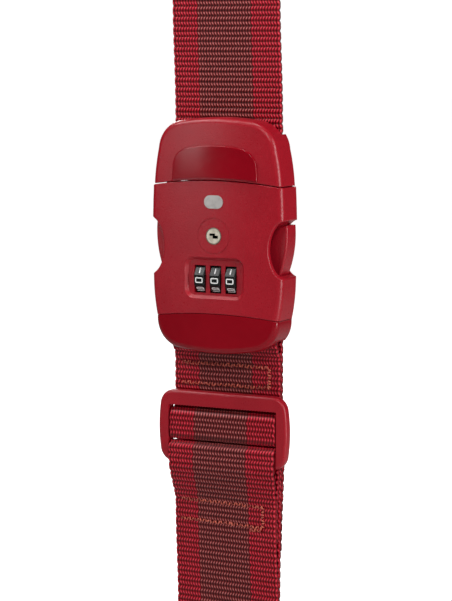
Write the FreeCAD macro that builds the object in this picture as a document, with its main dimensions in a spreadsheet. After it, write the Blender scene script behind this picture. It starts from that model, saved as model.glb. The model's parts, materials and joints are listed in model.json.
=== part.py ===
"""Luggage strap: a closed loop of 50 mm webbing with a three-dial combination buckle and a slider.

The loop stands upright on its bottom run, as it lies round a suitcase.  X runs across the webbing,
-Y is the front, +Z is up, and the origin is the centre of the footprint on the floor.
Lengths are millimetres.  Pieces of the buckle are drawn about the buckle's own centre and lifted to
buckle_centre; pieces of the slider are drawn about the slider's centre and lifted to slider_centre.
"""

import FreeCAD, Part
import math
import os
import re

import Sketcher
from FreeCAD import Rotation, Vector

# --------------------------------------------------------------------------- driving dimensions

SIZES = [
    # the loop of webbing
    ("loop_tall", 378.0, "height of the closed loop"),
    ("loop_deep", 334.8, "outside depth of the closed loop"),
    ("loop_bend", 24.0, "centreline radius of the loop's corners"),
    ("front_plane", -160.05, "Y of the upper front run's centre plane"),
    ("web_wide", 49.2, "webbing width, sold as 50 mm"),
    ("web_thick", 1.4, "webbing thickness"),
    ("web_gap", 0.3, "clearance between neighbouring layers"),
    ("bend_wrap", 2.8, "centreline radius where webbing wraps a pin"),
    # the buckle
    ("buckle_centre", 236.0, "height of the buckle's centre"),
    ("half_tall", 48.6, "half the buckle's height"),
    ("front_face", -12.8, "Y of the middle of the domed front"),
    ("back_face", 3.6, "Y of the flat back"),
    ("split_plane", 2.2, "Y where front shells meet back shells"),
    ("dome_radius", 197.0, "radius of the front's dome"),
    ("wall", 2.2, "thickness of the shells"),
    ("post_front", -10.9, "Y where the screw posts start, inside the front wall"),
    ("edge_round", 2.6, "round along the front edge"),
    ("back_round", 1.0, "round along the back edge"),
    ("seam_round", 0.35, "round along the edges where the fronts meet"),
    ("scallop_round", 0.7, "round along the rim of the finger scallops"),
    ("seam_side", 20.2, "height of the seam at the sides"),
    ("seam_rise", 2.6, "how far the seam arches up in the middle"),
    ("seam_gap", 0.35, "gap between the two halves"),
    ("male_side", 29.4, "half width of the upper half at the seam"),
    ("female_side", 29.9, "half width of the lower half at the seam"),
    ("female_wide", 30.4, "greatest half width"),
    ("female_low", 28.1, "half width where the end cap starts"),
    ("cap_side", -34.3, "height of the end cap's seam at the sides"),
    ("cap_rise", 2.4, "how far the end cap's seam arches up"),
    ("cap_gap", 0.12, "gap above the end cap"),
    ("plate_proud", 0.8, "how far the name plate stands out"),
    ("plate_corner", 8.0, "corner radius of the name plate"),
    ("plate_round", 0.6, "round along the name plate's edge"),
    ("plate_low", 21.5, "height of the name plate's lower edge at the sides"),
    # finger scallops and release arms
    ("scallop_x", 31.4, "centre of the scallop's ellipse"),
    ("scallop_z", -4.8, "centre height of the scallop"),
    ("scallop_deep", 7.4, "ellipse half width"),
    ("scallop_tall", 11.9, "ellipse half height"),
    ("arm_front", -6.2, "front of the release arms"),
    ("arm_back", 1.9, "back of the release arms"),
    ("arm_top", 5.0, "height of the latching shoulder"),
    ("arm_tip", -16.0, "lower end of the arm"),
    ("arm_round", 0.9, "round along the front of the finger pad"),
    ("arm_outer", 30.1, "outer face of the arm at its shoulder"),
    ("mouth_half", 28.5, "half width of the mouth that the arms enter by"),
    # key lock
    ("key_z", 0.2, "height of the key cylinder"),
    ("key_radius", 3.45, "key cylinder"),
    ("collar_radius", 4.6, "cylinder sleeve, outside"),
    ("key_front", -12.9, "front of the key cylinder"),
    ("cam_throw", 2.0, "offset of the cam's pin"),
    ("cam_pin", 0.7, "radius of the cam's pin"),
    ("cam_play", 0.15, "clearance round the cam's pin"),
    # dials
    ("dial_z", -17.8, "height of the dial shaft"),
    ("dial_y", -5.7, "Y of the dial shaft"),
    ("dial_radius", 6.9, "dial wheel, over its corners"),
    ("dial_wide", 4.7, "dial wheel width"),
    ("dial_pitch", 7.1, "distance between dials"),
    ("dial_bore", 3.2, "bore of a dial wheel"),
    ("shaft_radius", 1.5, "dial shaft"),
    ("shaft_play", 0.08, "running clearance on the shaft"),
    ("dial_tilt", -4.0, "how far the dials are turned from square, degrees"),
    ("bezel_wide", 27.4, "recess round the dials"),
    ("bezel_tall", 17.2, "recess round the dials"),
    ("bezel_z", -17.2, "centre height of the recess"),
    ("bezel_floor", -11.1, "Y of the recess floor"),
    ("bezel_slope", 1.3, "slope round the recess floor"),
    ("window_wide", 5.3, "slot for one dial"),
    ("window_tall", 11.4, "slot for one dial"),
    # webbing pins
    ("pin_radius", 2.0, "steel pins that the webbing wraps"),
    ("upper_pin_z", 34.0, "height of the upper pin"),
    ("upper_pin_y", -2.8, "Y of the upper pin"),
    ("lower_pin_z", -40.5, "height of the lower pin"),
    ("lower_pin_y", -1.1, "Y of the lower pin"),
    # slider
    ("slider_centre", 154.9, "height of the slider's centre"),
    ("slider_half_wide", 29.9, "half width at the middle of the bowed sides"),
    ("slider_side", 28.2, "half width of the bowed sides at the top and bottom"),
    ("slider_corner", 6.5, "corner radius"),
    ("slider_round", 1.3, "round along the front and back edges"),
    ("slider_half_tall", 15.35, "half height"),
    ("slider_front", -5.7, "front of the frame"),
    ("slider_back", -1.1, "back of the frame"),
    ("slot_half", 25.1, "half width of the slots"),
    ("slot_top", 9.1, "upper edge of the upper slot"),
    ("bar_top", 4.3, "upper edge of the centre bar"),
    ("bar_low", -1.3, "lower edge of the centre bar"),
    ("slot_low", -7.9, "lower edge of the lower slot"),
    ("bar_front", -4.2, "front of the centre bar"),
    ("bar_back", -1.6, "back of the centre bar"),
    ("low_bar_front", -4.9, "front of the bottom bar, which the webbing covers"),
]

VALUES = {alias: value for alias, value, note in SIZES}

DOC = FreeCAD.newDocument("LuggageStrap")
SHEET = DOC.addObject("Spreadsheet::Sheet", "Sizes")
for row, (alias, value, note) in enumerate(SIZES, start=1):
    SHEET.set(f"A{row}", note)
    SHEET.set(f"B{row}", str(value))
    SHEET.setAlias(f"B{row}", alias)
DOC.recompute()

PIECES = []


# --------------------------------------------------------------------------- small helpers

def number(formula):
    """The value of a sum of cells and numbers, such as "seam_side - 2*seam_gap"."""
    total = 0.0
    sign = 1.0
    for word in str(formula).split():
        if word in "+-":
            sign = 1.0 if word == "+" else -1.0
            continue
        product = -1.0 if word.startswith("-") else 1.0
        for factor in word.lstrip("-").split("*"):
            product *= VALUES[factor] if factor in VALUES else float(factor)
        total += sign * product
    return total


def expression(formula):
    """The same sum as the document's own expression."""
    return re.sub(r"[a-z][a-z_]*", r"Sizes.\g<0>", str(formula))


def minus(formula):
    """The formula with its sign turned round."""
    words = []
    lead = True
    for word in str(formula).split():
        if word in "+-":
            words.append("-" if word == "+" else "+")
            lead = False
        elif lead:
            words.append(word[1:] if word.startswith("-") else "-" + word)
        else:
            words.append(word)
    return " ".join(words)


def bind(thing, name, formula):
    thing.setExpression(name, expression(formula))


def at(thing, x="0", y="0", z="0"):
    """Binds a thing's place to the sheet."""
    for axis, formula in zip("xyz", (x, y, z)):
        bind(thing, ".Placement.Base." + axis, formula)
    return thing


def box(name, low, high):
    """A box between two corners given as formulas."""
    thing = DOC.addObject("Part::Box", name)
    for side, start, end in zip(("Length", "Width", "Height"), low, high):
        thing.setExpression(side, f"({expression(end)}) - ({expression(start)})")
    return at(thing, *low)


TURNS = {
    "x": Rotation(Vector(0, 1, 0), 90),
    "y": Rotation(Vector(1, 0, 0), -90),
    "z": Rotation(),
}


def cylinder(name, axis, radius, length, start):
    """A cylinder along +X, +Y or +Z from its start point."""
    thing = DOC.addObject("Part::Cylinder", name)
    bind(thing, "Radius", radius)
    bind(thing, "Height", length)
    thing.Placement = FreeCAD.Placement(Vector(), TURNS[axis])
    return at(thing, *start)


def fuse(name, things):
    thing = DOC.addObject("Part::MultiFuse", name)
    thing.Shapes = things
    return thing


def common(name, base, tool):
    thing = DOC.addObject("Part::Common", name)
    thing.Base = base
    thing.Tool = tool
    return thing


def cut(name, base, tools):
    thing = DOC.addObject("Part::Cut", name)
    thing.Base = base
    thing.Tool = tools[0] if len(tools) == 1 else fuse(name + "_cutters", tools)
    return thing


def mirror_x(name, base):
    thing = DOC.addObject("Part::Mirroring", name)
    thing.Source = base
    thing.Normal = Vector(1, 0, 0)
    return thing


def rounded(name, base, radius, chosen):
    """Rounds the edges for which chosen(edge) is true."""
    DOC.recompute()
    thing = DOC.addObject("Part::Fillet", name)
    thing.Base = base
    edges = enumerate(base.Shape.Edges, start=1)
    size = number(radius)
    thing.Edges = [(index, size, size) for index, edge in edges if chosen(edge)]
    DOC.recompute()
    if thing.Shape.isNull() or not thing.Shape.isValid():
        raise RuntimeError("the rounds failed on " + name)
    return thing


def outline(body, name, plane, corners, lift="0"):
    """A closed sketch on one of the body's origin planes.

    Each corner is (across, up) for a straight run to the next corner, or (across, up, (across, up))
    where the last pair is a point that an arc to the next corner passes through.
    """
    sketch = body.newObject("Sketcher::SketchObject", name)
    support = [face for face in body.Origin.OriginFeatures if face.Role == plane]
    sketch.AttachmentSupport = [(support[0], "")]
    sketch.MapMode = "FlatFace"
    bind(sketch, ".AttachmentOffset.Base.z", lift)

    def pinned(geometry, end, place):
        for kind, formula in zip(("DistanceX", "DistanceY"), place):
            rule = Sketcher.Constraint(kind, -1, 1, geometry, end, number(formula))
            index = sketch.addConstraint(rule)
            sketch.setExpression(f"Constraints[{index}]", expression(formula))

    def spot(place):
        return Vector(number(place[0]), number(place[1]), 0)

    ends = []
    for here, there in zip(corners, corners[1:] + corners[:1]):
        if len(here) == 3:
            edge = Part.Arc(spot(here), spot(here[2]), spot(there))
            index = sketch.addGeometry(edge)
            forward = (sketch.getPoint(index, 1) - spot(here)).Length < 1e-6
            through = sketch.addGeometry(Part.Point(spot(here[2])), True)
            sketch.addConstraint(Sketcher.Constraint("PointOnObject", through, 1, index))
            pinned(through, 1, here[2])
        else:
            index = sketch.addGeometry(Part.LineSegment(spot(here), spot(there)))
            forward = True
        ends.append((index, 1, 2) if forward else (index, 2, 1))
    for place, (index, start, _), (before, _, finish) in zip(corners, ends, ends[-1:] + ends[:-1]):
        sketch.addConstraint(Sketcher.Constraint("Coincident", before, finish, index, start))
        pinned(index, start, place)
    return sketch


def pad(name, plane, corners, start, length):
    """A body holding one pad of an outline, from start along the plane's normal.

    The front plane's normal points to -Y, so its start is given as minus the Y of the face.
    """
    body = DOC.addObject("PartDesign::Body", name)
    profile = outline(body, name + "_outline", plane, corners, start)
    feature = body.newObject("PartDesign::Pad", name + "_pad")
    feature.Profile = profile
    bind(feature, "Length", length)
    return body


FRONT = "XZ_Plane"
SIDE = "YZ_Plane"


def front_pad(name, corners, back, length):
    """An outline seen from the front, padded forwards from the plane Y = back."""
    return pad(name, FRONT, corners, minus(back), length)


def symmetric(right, top=None, bottom=None):
    """A closed outline from its right half, listed from top to bottom.

    top and bottom are the points that the closing arcs pass through, or None for straight edges.
    """
    corners = list(right)
    corners[-1] = corners[-1][:2] + ((bottom,) if bottom else ())
    for index in range(len(right) - 1, -1, -1):
        place = (minus(right[index][0]), right[index][1])
        through = top if index == 0 else None
        if index and len(right[index - 1]) == 3:
            bulge = right[index - 1][2]
            through = (minus(bulge[0]), bulge[1])
        corners.append(place + ((through,) if through else ()))
    return corners


def edge_box(edge):
    """(lowest corner, highest corner) of an edge."""
    bounds = edge.BoundBox
    return (bounds.XMin, bounds.YMin, bounds.ZMin), (bounds.XMax, bounds.YMax, bounds.ZMax)


def in_plane(edge, axis, formula):
    """True for an edge that lies in the plane where x, y or z has that value."""
    low, high = edge_box(edge)
    index = "xyz".index(axis)
    value = number(formula)
    return abs(low[index] - value) < 1e-4 and abs(high[index] - value) < 1e-4


def piece(node, thing, lift="0"):
    """Names a finished piece and moves it to its place in the loop."""
    at(thing, y="front_plane", z=lift)
    return placed_piece(node, thing)


def placed_piece(node, thing):
    """Names a finished piece that is already in its place."""
    thing.Label = node
    PIECES.append(thing)
    return thing


def rod(node, radius, half_long, y, z):
    """A plain steel rod across the buckle, placed where it lies in the loop."""
    start = (minus(half_long), f"front_plane + {y}", f"buckle_centre + {z}")
    return placed_piece(node, cylinder(node + "_rod", "x", radius, f"2*{half_long}", start))


def run_face(start, finish, half):
    """The side view of a straight run of webbing."""
    along = (finish - start).normalize()
    side = Vector(0, -along.z, along.y) * half
    loop = [start + side, finish + side, finish - side, start - side, start + side]
    return Part.Face(Part.makePolygon(loop))


def bend_face(first, last, centre, half):
    """The side view of webbing that bends about a centre."""
    out_first = (first - centre).normalize()
    out_last = (last - centre).normalize()
    out_middle = (out_first + out_last).normalize()
    radius = (first - centre).Length

    def arc(reach):
        ends = [centre + way * reach for way in (out_first, out_middle, out_last)]
        return Part.Arc(*ends).toShape()

    outer = arc(radius + half)
    inner = arc(radius - half)
    caps = [
        Part.makeLine(centre + way * (radius - half), centre + way * (radius + half))
        for way in (out_first, out_last)
    ]
    return Part.Face(Part.Wire(Part.__sortEdges__([outer, inner] + caps)))


def webbing(node, points, lift="0"):
    """Webbing along a route in the YZ plane; a point is (y, z) or (y, z, bend radius)."""
    half = number("0.5*web_thick")
    half_wide = number("0.5*web_wide")
    spots = [Vector(0, number(point[0]), number(point[1])) for point in points]
    faces = []
    start = spots[0]
    length = 0.0
    for before, here, after, point in zip(spots, spots[1:], spots[2:], points[1:-1]):
        along = (here - before).normalize()
        away = (after - here).normalize()
        turn = along.getAngle(away)
        radius = number(point[2])
        reach = radius * math.tan(turn / 2)
        first = here - along * reach
        last = here + away * reach
        if (first - start).Length > 1e-6:
            faces.append(run_face(start, first, half))
            length += (first - start).Length
        centre = here + (away - along).normalize() * (radius / math.cos(turn / 2))
        faces.append(bend_face(first, last, centre, half))
        length += radius * turn
        start = last
    faces.append(run_face(start, spots[-1], half))
    length += (spots[-1] - start).Length
    runs = []
    for face in faces:
        face.translate(Vector(-half_wide, 0, 0))
        runs.append(face.extrude(Vector(2 * half_wide, 0, 0)))
    shape = runs[0].multiFuse(runs[1:]).removeSplitter() if len(runs) > 1 else runs[0]
    thing = DOC.addObject("Part::Feature", node)
    thing.Shape = shape.Solids[0]
    piece(node, thing, lift)
    print(f"{node}: {length:.1f} mm of webbing, {len(shape.Solids)} solid")
    return thing


# --------------------------------------------------------------------------- the buckle's outside

def dome(name, growth):
    """The cylinder, about a vertical axis, that domes the front; growth moves its face forwards."""
    radius = "dome_radius + " + growth if growth[0] != "-" else "dome_radius - " + growth[1:]
    return cylinder(name, "z", radius, "200", ("0", "front_face + dome_radius", "-100"))


def blank(name, corners):
    """A buckle half before it is hollowed: a plan outline, domed in front and rounded all round."""
    plan = front_pad(name + "_plan", corners, "back_face", "back_face - front_face + 2")
    domed = common(name + "_domed", plan, dome(name + "_dome", "0"))
    DOC.recompute()
    front_limit = number("front_face") + 4.0
    sizes = []
    for index, edge in enumerate(domed.Shape.Edges, start=1):
        if edge_box(edge)[1][1] < front_limit:
            sizes.append((index, number("edge_round"), number("edge_round")))
        elif in_plane(edge, "y", "back_face"):
            sizes.append((index, number("back_round"), number("back_round")))
    thing = DOC.addObject("Part::Fillet", name)
    thing.Base = domed
    thing.Edges = sizes
    return thing


CROWN = [
    ("16.5", "half_tall - 1.4", ("23.8", "half_tall - 5.2")),
    ("27.2", "36.0", ("28.6", "28.4")),
    ("male_side", "seam_side"),
    ("male_side", "10"),
]
LOWER = [
    ("female_side", "27"),
    ("female_side", "seam_side", ("female_wide", "4")),
    ("30.0", "-18", ("29.5", "-26")),
    ("female_low", "cap_side", ("24.9", "-43.2")),
    ("17.0", "1.5 - half_tall"),
]

upper_blank = blank("upper_blank", symmetric(CROWN, top=("0", "half_tall")))
lower_blank = blank("lower_blank", symmetric(LOWER, bottom=("0", "-half_tall")))

def seam_rounded(name, base, low, high):
    """Rounds the front edges that cross the buckle between two heights."""
    return rounded(
        name,
        base,
        "seam_round",
        lambda edge: edge_box(edge)[1][1] < number("front_face + 3.2")
        and number(low) < edge_box(edge)[0][2]
        and edge_box(edge)[1][2] < number(high)
        and edge_box(edge)[1][0] - edge_box(edge)[0][0] > 40,
    )


# The three fronts meet along arched seams.  Each zone is wider than the buckle.
ZONE_HALF = "31"


def arch(name, low, low_rise, high, high_rise, back, length):
    """A zone between two arched seams, given as their heights at the sides and their rises."""
    corners = [
        (minus(ZONE_HALF), high, ("0", f"{high} + {high_rise}")),
        (ZONE_HALF, high),
        (ZONE_HALF, low, ("0", f"{low} + {low_rise}")),
        (minus(ZONE_HALF), low),
    ]
    return front_pad(name, corners, back, length)


def zone_pair(name, low, low_rise, high, high_rise):
    """The same zone in front of the split plane and behind it."""
    front = arch(name + "_front_zone", low, low_rise, high, high_rise, "split_plane", "20")
    behind = arch(name + "_back_zone", low, low_rise, high, high_rise, "split_plane + 4", "4")
    return front, behind


male_front, male_back = zone_pair(
    "male", "seam_side + seam_gap", "seam_rise", "half_tall + 2", "1"
)
female_front, _ = zone_pair("female", "cap_side", "cap_rise", "seam_side", "seam_rise")
cap_front, _ = zone_pair("cap", "-half_tall - 5", "1", "cap_side - cap_gap", "cap_rise")
_, cover_back = zone_pair("cover", "-half_tall - 5", "1", "seam_side", "seam_rise")


def hollow(name, boxes):
    """A cavity made of boxes that stops one wall behind the domed front."""
    shapes = [box(f"{name}_{index}", low, high) for index, (low, high) in enumerate(boxes)]
    return common(name, fuse(name + "_boxes", shapes), dome(name + "_inner_dome", "-wall"))


SCREW_RADIUS = "1.1"
POST_RADIUS = "2.4"


def posts(name, places):
    """Screw posts from inside the front wall to the split plane."""
    return [
        cylinder(f"{name}_{index}", "y", POST_RADIUS, "split_plane - post_front", (x, "post_front", z))
        for index, (x, z) in enumerate(places)
    ]


def screw_holes(name, places):
    """Clearance for the screws' threads and heads."""
    tools = []
    for index, (x, z) in enumerate(places):
        tools.append(cylinder(f"{name}_thread_{index}", "y", "1.15", "12", (x, "-8.2", z)))
        tools.append(cylinder(f"{name}_head_{index}", "y", "2.3", "3", (x, "split_plane + 0.4", z)))
    return tools


def screws(node, places):
    """Pan-head screws driven from the back, all in one node."""
    shapes = []
    for index, (x, z) in enumerate(places):
        reach = "split_plane + 0.4 + 8.0"
        thread = cylinder(f"{node}_thread_{index}", "y", SCREW_RADIUS, reach, (x, "-8.0", z))
        head = cylinder(f"{node}_head_{index}", "y", "2.1", "0.9", (x, "split_plane + 0.4", z))
        slot_low = (f"{x} - 1.5", "split_plane + 0.9", f"{z} - 0.3")
        slot_high = (f"{x} + 1.5", "split_plane + 2", f"{z} + 0.3")
        slot = box(f"{node}_slot_{index}", slot_low, slot_high)
        body = fuse(f"{node}_body_{index}", [thread, head])
        shapes.append(cut(f"{node}_screw_{index}", body, [slot]))
    return piece(node, fuse(node, shapes), "buckle_centre")


# --------------------------------------------------------------------------- upper half

MALE_SCREWS = [("-13", "26.5"), ("13", "26.5")]
PLATE = [
    ("18.9", "34.4"),
    ("20.0", "15"),
]


def build_plate():
    """The glossy domed plate and the pocket that it sits in."""
    shapes = []
    for name in ("plate_block", "plate_pocket"):
        block = front_pad(name, symmetric(PLATE, top=("0", "37.3")), "front_face + 1.6", "4")
        shapes.append(rounded(
            name + "_corners",
            block,
            "plate_corner",
            lambda edge: edge_box(edge)[1][1] - edge_box(edge)[0][1] > 3 and edge_box(edge)[0][2] > 30,
        ))
    domed = common("plate_domed", shapes[0], dome("plate_dome", "plate_proud"))
    DOC.recompute()
    front_limit = number("front_face + 1.2")
    soft = rounded(
        "plate_soft",
        domed,
        "plate_round",
        lambda edge: edge_box(edge)[1][1] < front_limit and edge_box(edge)[1][2] > 16,
    )
    zone = arch("plate_zone", "plate_low", "seam_rise", "half_tall + 2", "1", "split_plane", "20")
    piece("name_plate", common("plate", soft, zone), "buckle_centre")
    return common("plate_seat", shapes[1], zone)


def build_upper_half():
    pocket = build_plate()
    cavity = hollow("male_cavity", [
        (("-26.2", "-20", "12"), ("26.2", "split_plane", "36.1")),
        (("-25.1", "-20", "35"), ("25.1", "split_plane", "38.6")),
        (("-20.0", "-20", "38"), ("20.0", "split_plane", "46.2")),
    ])
    strap_slot = box("upper_slot", ("-25.1", "-1.2", "34"), ("25.1", "split_plane", "60"))
    cut_front = common("male_front_blank", upper_blank, male_front)
    front = seam_rounded("male_front_soft", cut_front, "seam_side - 1", "seam_side + 5")
    shell = cut("male_shell", front, [cavity, strap_slot, pocket])
    with_posts = fuse("male_with_posts", [shell] + posts("male_post", MALE_SCREWS))
    drilled = cut("male_front_drilled", with_posts, screw_holes("male_front_hole", MALE_SCREWS))
    piece("male_front_shell", drilled, "buckle_centre")

    back = common("male_back_blank", upper_blank, male_back)
    notch = box("upper_notch", ("-25.1", "0", "30.2"), ("25.1", "6", "60"))
    shell = cut("male_back", back, [notch] + screw_holes("male_back_hole", MALE_SCREWS))
    piece("male_back_shell", shell, "buckle_centre")

    rod("upper_webbing_pin", "pin_radius", "26.1", "upper_pin_y", "upper_pin_z")

    blade = box("tongue_blade", ("-7", "-2.6", "-8"), ("7", "1.0", "29"))
    flange = box("tongue_flange", ("-18", "-2.6", "23"), ("18", "1.0", "30"))
    tongue = fuse("tongue_solid", [blade, flange])
    clearances = [
        cylinder(f"tongue_hole_{index}", "y", f"{POST_RADIUS} + 0.05", "6", (x, "-4", z))
        for index, (x, z) in enumerate(MALE_SCREWS)
    ]
    piece("guide_tongue", cut("tongue", tongue, clearances), "buckle_centre")
    screws("male_screws", MALE_SCREWS)


ARM_PIVOT = ("23.4", "25.0")
ARM = [
    ("25.3", "25.0"),
    ("25.3", "18"),
    ("26.4", "9.0"),
    ("26.6", "arm_top"),
    ("arm_outer", "arm_top", ("29.6", "-6.5")),
    ("26.8", "arm_tip"),
    ("21.4", "arm_tip"),
    ("20.5", "-4.4"),
    ("16.2", "-4.4"),
    ("16.2", "-0.6"),
    ("20.5", "-0.6"),
    ("20.5", "4.0"),
    ("22.7", "18"),
    ("22.7", "25.0"),
]


def build_arm(node, side):
    """A release arm: a springy beam from a round root, a latching shoulder and a finger pad."""
    beam = front_pad(node + "_beam", ARM, "arm_back", "arm_back - arm_front")
    root_start = (ARM_PIVOT[0], "arm_front", ARM_PIVOT[1])
    root = cylinder(node + "_root", "y", "2.3", "arm_back - arm_front", root_start)
    solid = fuse(node + "_solid", [beam, root])
    DOC.recompute()
    chosen = rounded(
        node + "_rounded",
        solid,
        "arm_round",
        lambda edge: in_plane(edge, "y", "arm_front")
        and edge_box(edge)[1][0] > number("26.9")
        and edge_box(edge)[1][2] < number("arm_top + 0.1"),
    )
    thing = chosen if side > 0 else mirror_x(node + "_mirrored", chosen)
    piece(node, thing, "buckle_centre")


# --------------------------------------------------------------------------- lower half

HOUSING_SCREWS = [("-9.9", "14.6"), ("9.9", "14.6"), ("-19", "-27"), ("19", "-27")]
DIALS = ["-dial_pitch", "0", "dial_pitch"]


UPRIGHT = Rotation(Vector(1, 1, 1), -120)  # takes X to Z, Y to X and Z to Y


def scallop(name, x):
    """The finger scallop through one side: an upright ellipse run from back to front."""
    shape = DOC.addObject("Part::Ellipse", name + "_ellipse")
    bind(shape, "MajorRadius", "scallop_tall")
    bind(shape, "MinorRadius", "scallop_deep")
    shape.Placement = FreeCAD.Placement(Vector(), UPRIGHT)
    at(shape, x, "10", "scallop_z")
    run = DOC.addObject("Part::Extrusion", name)
    run.Base = shape
    run.DirMode = "Custom"
    run.Dir = Vector(0, -1, 0)
    run.LengthFwd = 30
    run.Solid = True
    return run


def bezel_cutter():
    """The recess round the dials: a rounded rectangle whose walls slope in to the floor."""
    low = "bezel_z - 0.5*bezel_tall"
    high = "bezel_z + 0.5*bezel_tall"
    block = box(
        "bezel_block",
        ("-0.5*bezel_wide", "bezel_floor - 6", low),
        ("0.5*bezel_wide", "bezel_floor", high),
    )
    corners = rounded(
        "bezel_corners",
        block,
        "4.2",
        lambda edge: edge_box(edge)[1][1] - edge_box(edge)[0][1] > 3,
    )
    slope = DOC.addObject("Part::Chamfer", "bezel_slope")
    slope.Base = corners
    size = number("bezel_slope")
    edges = enumerate(corners.Shape.Edges, start=1)
    slope.Edges = [(i, size, size) for i, e in edges if in_plane(e, "y", "bezel_floor")]
    return slope


def build_housing():
    scallops = [scallop("right_scallop", "scallop_x"), scallop("left_scallop", "-scallop_x")]
    cavity = hollow("female_cavity", [
        (("-28.1", "-20", "-17"), ("28.1", "split_plane", "17.8")),
        (("-25.6", "-20", "-40"), ("25.6", "split_plane", "-16")),
    ])
    mouth = box("mouth", ("-mouth_half", "-6.8", "15"), ("mouth_half", "split_plane", "30"))
    key_hole = cylinder("key_hole", "y", "3.55", "8", ("0", "-16", "key_z"))
    ring_out = cylinder("ring_out", "y", "7.5", "3", ("0", "front_face - 2.8", "key_z"))
    ring_in = cylinder("ring_in", "y", "7.05", "4", ("0", "front_face - 3", "key_z"))
    ring = cut("ring_groove", ring_out, [ring_in])
    badge_seat = badge_block("badge_seat", "front_face + 0.9")
    windows = []
    for index, x in enumerate(DIALS):
        low = (f"{x} - 0.5*window_wide", "-16", "dial_z - 0.5*window_tall")
        high = (f"{x} + 0.5*window_wide", "-8", "dial_z + 0.5*window_tall")
        windows.append(box(f"window_{index}", low, high))
    cut_front = common("female_front_blank", lower_blank, female_front)
    upper_soft = seam_rounded("housing_upper_soft", cut_front, "seam_side - 1", "seam_side + 5")
    lower_soft = seam_rounded("housing_lower_soft", upper_soft, "cap_side - 1", "cap_side + 5")
    scalloped = rounded(
        "housing_scalloped",
        cut("housing_scallops", lower_soft, scallops),
        "scallop_round",
        lambda edge: edge_box(edge)[1][1] < number("front_face + 3.2")
        and abs(edge_box(edge)[0][0] + edge_box(edge)[1][0]) > 40
        and edge_box(edge)[0][2] > number("scallop_z - scallop_tall")
        and edge_box(edge)[1][2] < number("scallop_z + scallop_tall"),
    )
    cutters = [cavity, mouth, key_hole, ring, badge_seat, bezel_cutter()] + windows
    shell = cut("housing_shell", scalloped, cutters)
    brackets = [
        box("shaft_bracket_left", ("-12.6", "-10.4", "-21.5"), ("-10.6", "-2.6", "-14")),
        box("shaft_bracket_right", ("10.6", "-10.4", "-21.5"), ("12.6", "-2.6", "-14")),
    ]
    added = fuse("housing_added", [shell] + brackets + posts("female_post", HOUSING_SCREWS))
    shaft_hole = cylinder(
        "shaft_hole", "x", "shaft_radius + 0.03", "26", ("-13", "dial_y", "dial_z")
    )
    drilled = cut(
        "housing_drilled", added, [shaft_hole] + screw_holes("housing_hole", HOUSING_SCREWS)
    )
    piece("front_housing", drilled, "buckle_centre")

    back = common("cover_blank", lower_blank, cover_back)
    notch = box("lower_notch", ("-25.1", "0", "-60"), ("25.1", "6", "-36.6"))
    cutters = [notch] + scallops + screw_holes("cover_hole", HOUSING_SCREWS)
    piece("back_cover", cut("cover", back, cutters), "buckle_centre")

    cap_blank = common("cap_blank", lower_blank, cap_front)
    inside = hollow("cap_cavity", [
        (("-25.1", "-20", "-41"), ("25.1", "split_plane", "-20")),
        (("-20", "-20", "-46.2"), ("20", "split_plane", "-40")),
    ])
    strap_exit = box("cap_exit", ("-25.1", "-4.6", "-60"), ("25.1", "split_plane", "-40"))
    hollowed = cut("cap_hollowed", cap_blank, [inside, strap_exit])
    piece("end_cap", hollowed, "buckle_centre")

    rod("lower_webbing_pin", "pin_radius", "25", "lower_pin_y", "lower_pin_z")
    screws("housing_screws", HOUSING_SCREWS)


def badge_block(name, back):
    """A plain oval block for the badge, from a plane forwards."""
    corners = [
        ("1.6", "16.9", ("4.3", "14.2")),
        ("1.6", "11.5"),
        ("-1.6", "11.5", ("-4.3", "14.2")),
        ("-1.6", "16.9"),
    ]
    return front_pad(name, corners, back, "4")


def build_badge():
    block = badge_block("badge_block", "front_face + 0.9")
    piece("badge", common("badge_domed", block, dome("badge_dome", "0.2")), "buckle_centre")


def build_lock():
    """The key cylinder in its sleeve, the cam that it turns and the slider that blocks the arms."""
    sleeve_front = cylinder("sleeve_front", "y", "3.5", "6", ("0", "key_front + 0.05", "key_z"))
    sleeve_flange = cylinder("sleeve_flange", "y", "collar_radius", "1.9", ("0", "-9.9", "key_z"))
    sleeve_bore = cylinder("sleeve_bore", "y", "key_radius - 0.3", "20", ("0", "-20", "key_z"))
    solid = fuse("sleeve_solid", [sleeve_front, sleeve_flange])
    piece("cylinder_sleeve", cut("sleeve", solid, [sleeve_bore]), "buckle_centre")

    plug = cylinder("plug", "y", "key_radius - 0.36", "5.4", ("0", "key_front", "key_z"))
    upper_cut = box("keyway_upper", ("-1.9", "-14", "key_z + 0.1"), ("0.7", "-10.4", "key_z + 1.1"))
    lower_cut = box("keyway_lower", ("-0.5", "-14", "key_z - 1.0"), ("2.1", "-10.4", "key_z + 0.2"))
    piece("key_cylinder", cut("plug_cut", plug, [upper_cut, lower_cut]), "buckle_centre")

    disc_start = ("0", "key_front + 5.4", "key_z")
    disc = cylinder("cam_disc", "y", "2.9", "0.6", disc_start)
    pin_place = ("-0.7071*cam_throw", "key_front + 6", "key_z - 0.7071*cam_throw")
    pin = cylinder("cam_pin_solid", "y", "cam_pin", "1.9", pin_place)
    piece("key_cam", fuse("cam", [disc, pin]), "buckle_centre")

    plate = box("slider_plate", ("-12.4", "-6.6", "-9"), ("12.4", "-5.4", "4.0"))
    tabs = box("slider_tabs", ("-15.5", "-6.6", "-9"), ("15.5", "-5.4", "-5.6"))
    slot = box(
        "slider_slot",
        ("-3.0", "-8", "key_z - 0.7071*cam_throw - cam_pin - cam_play"),
        ("-0.5", "-4", "key_z - 0.7071*cam_throw + cam_pin + cam_play"),
    )
    plate = fuse("slider_solid", [plate, tabs])
    piece("lock_slider", cut("lock_plate", plate, [slot]), "buckle_centre")


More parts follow.
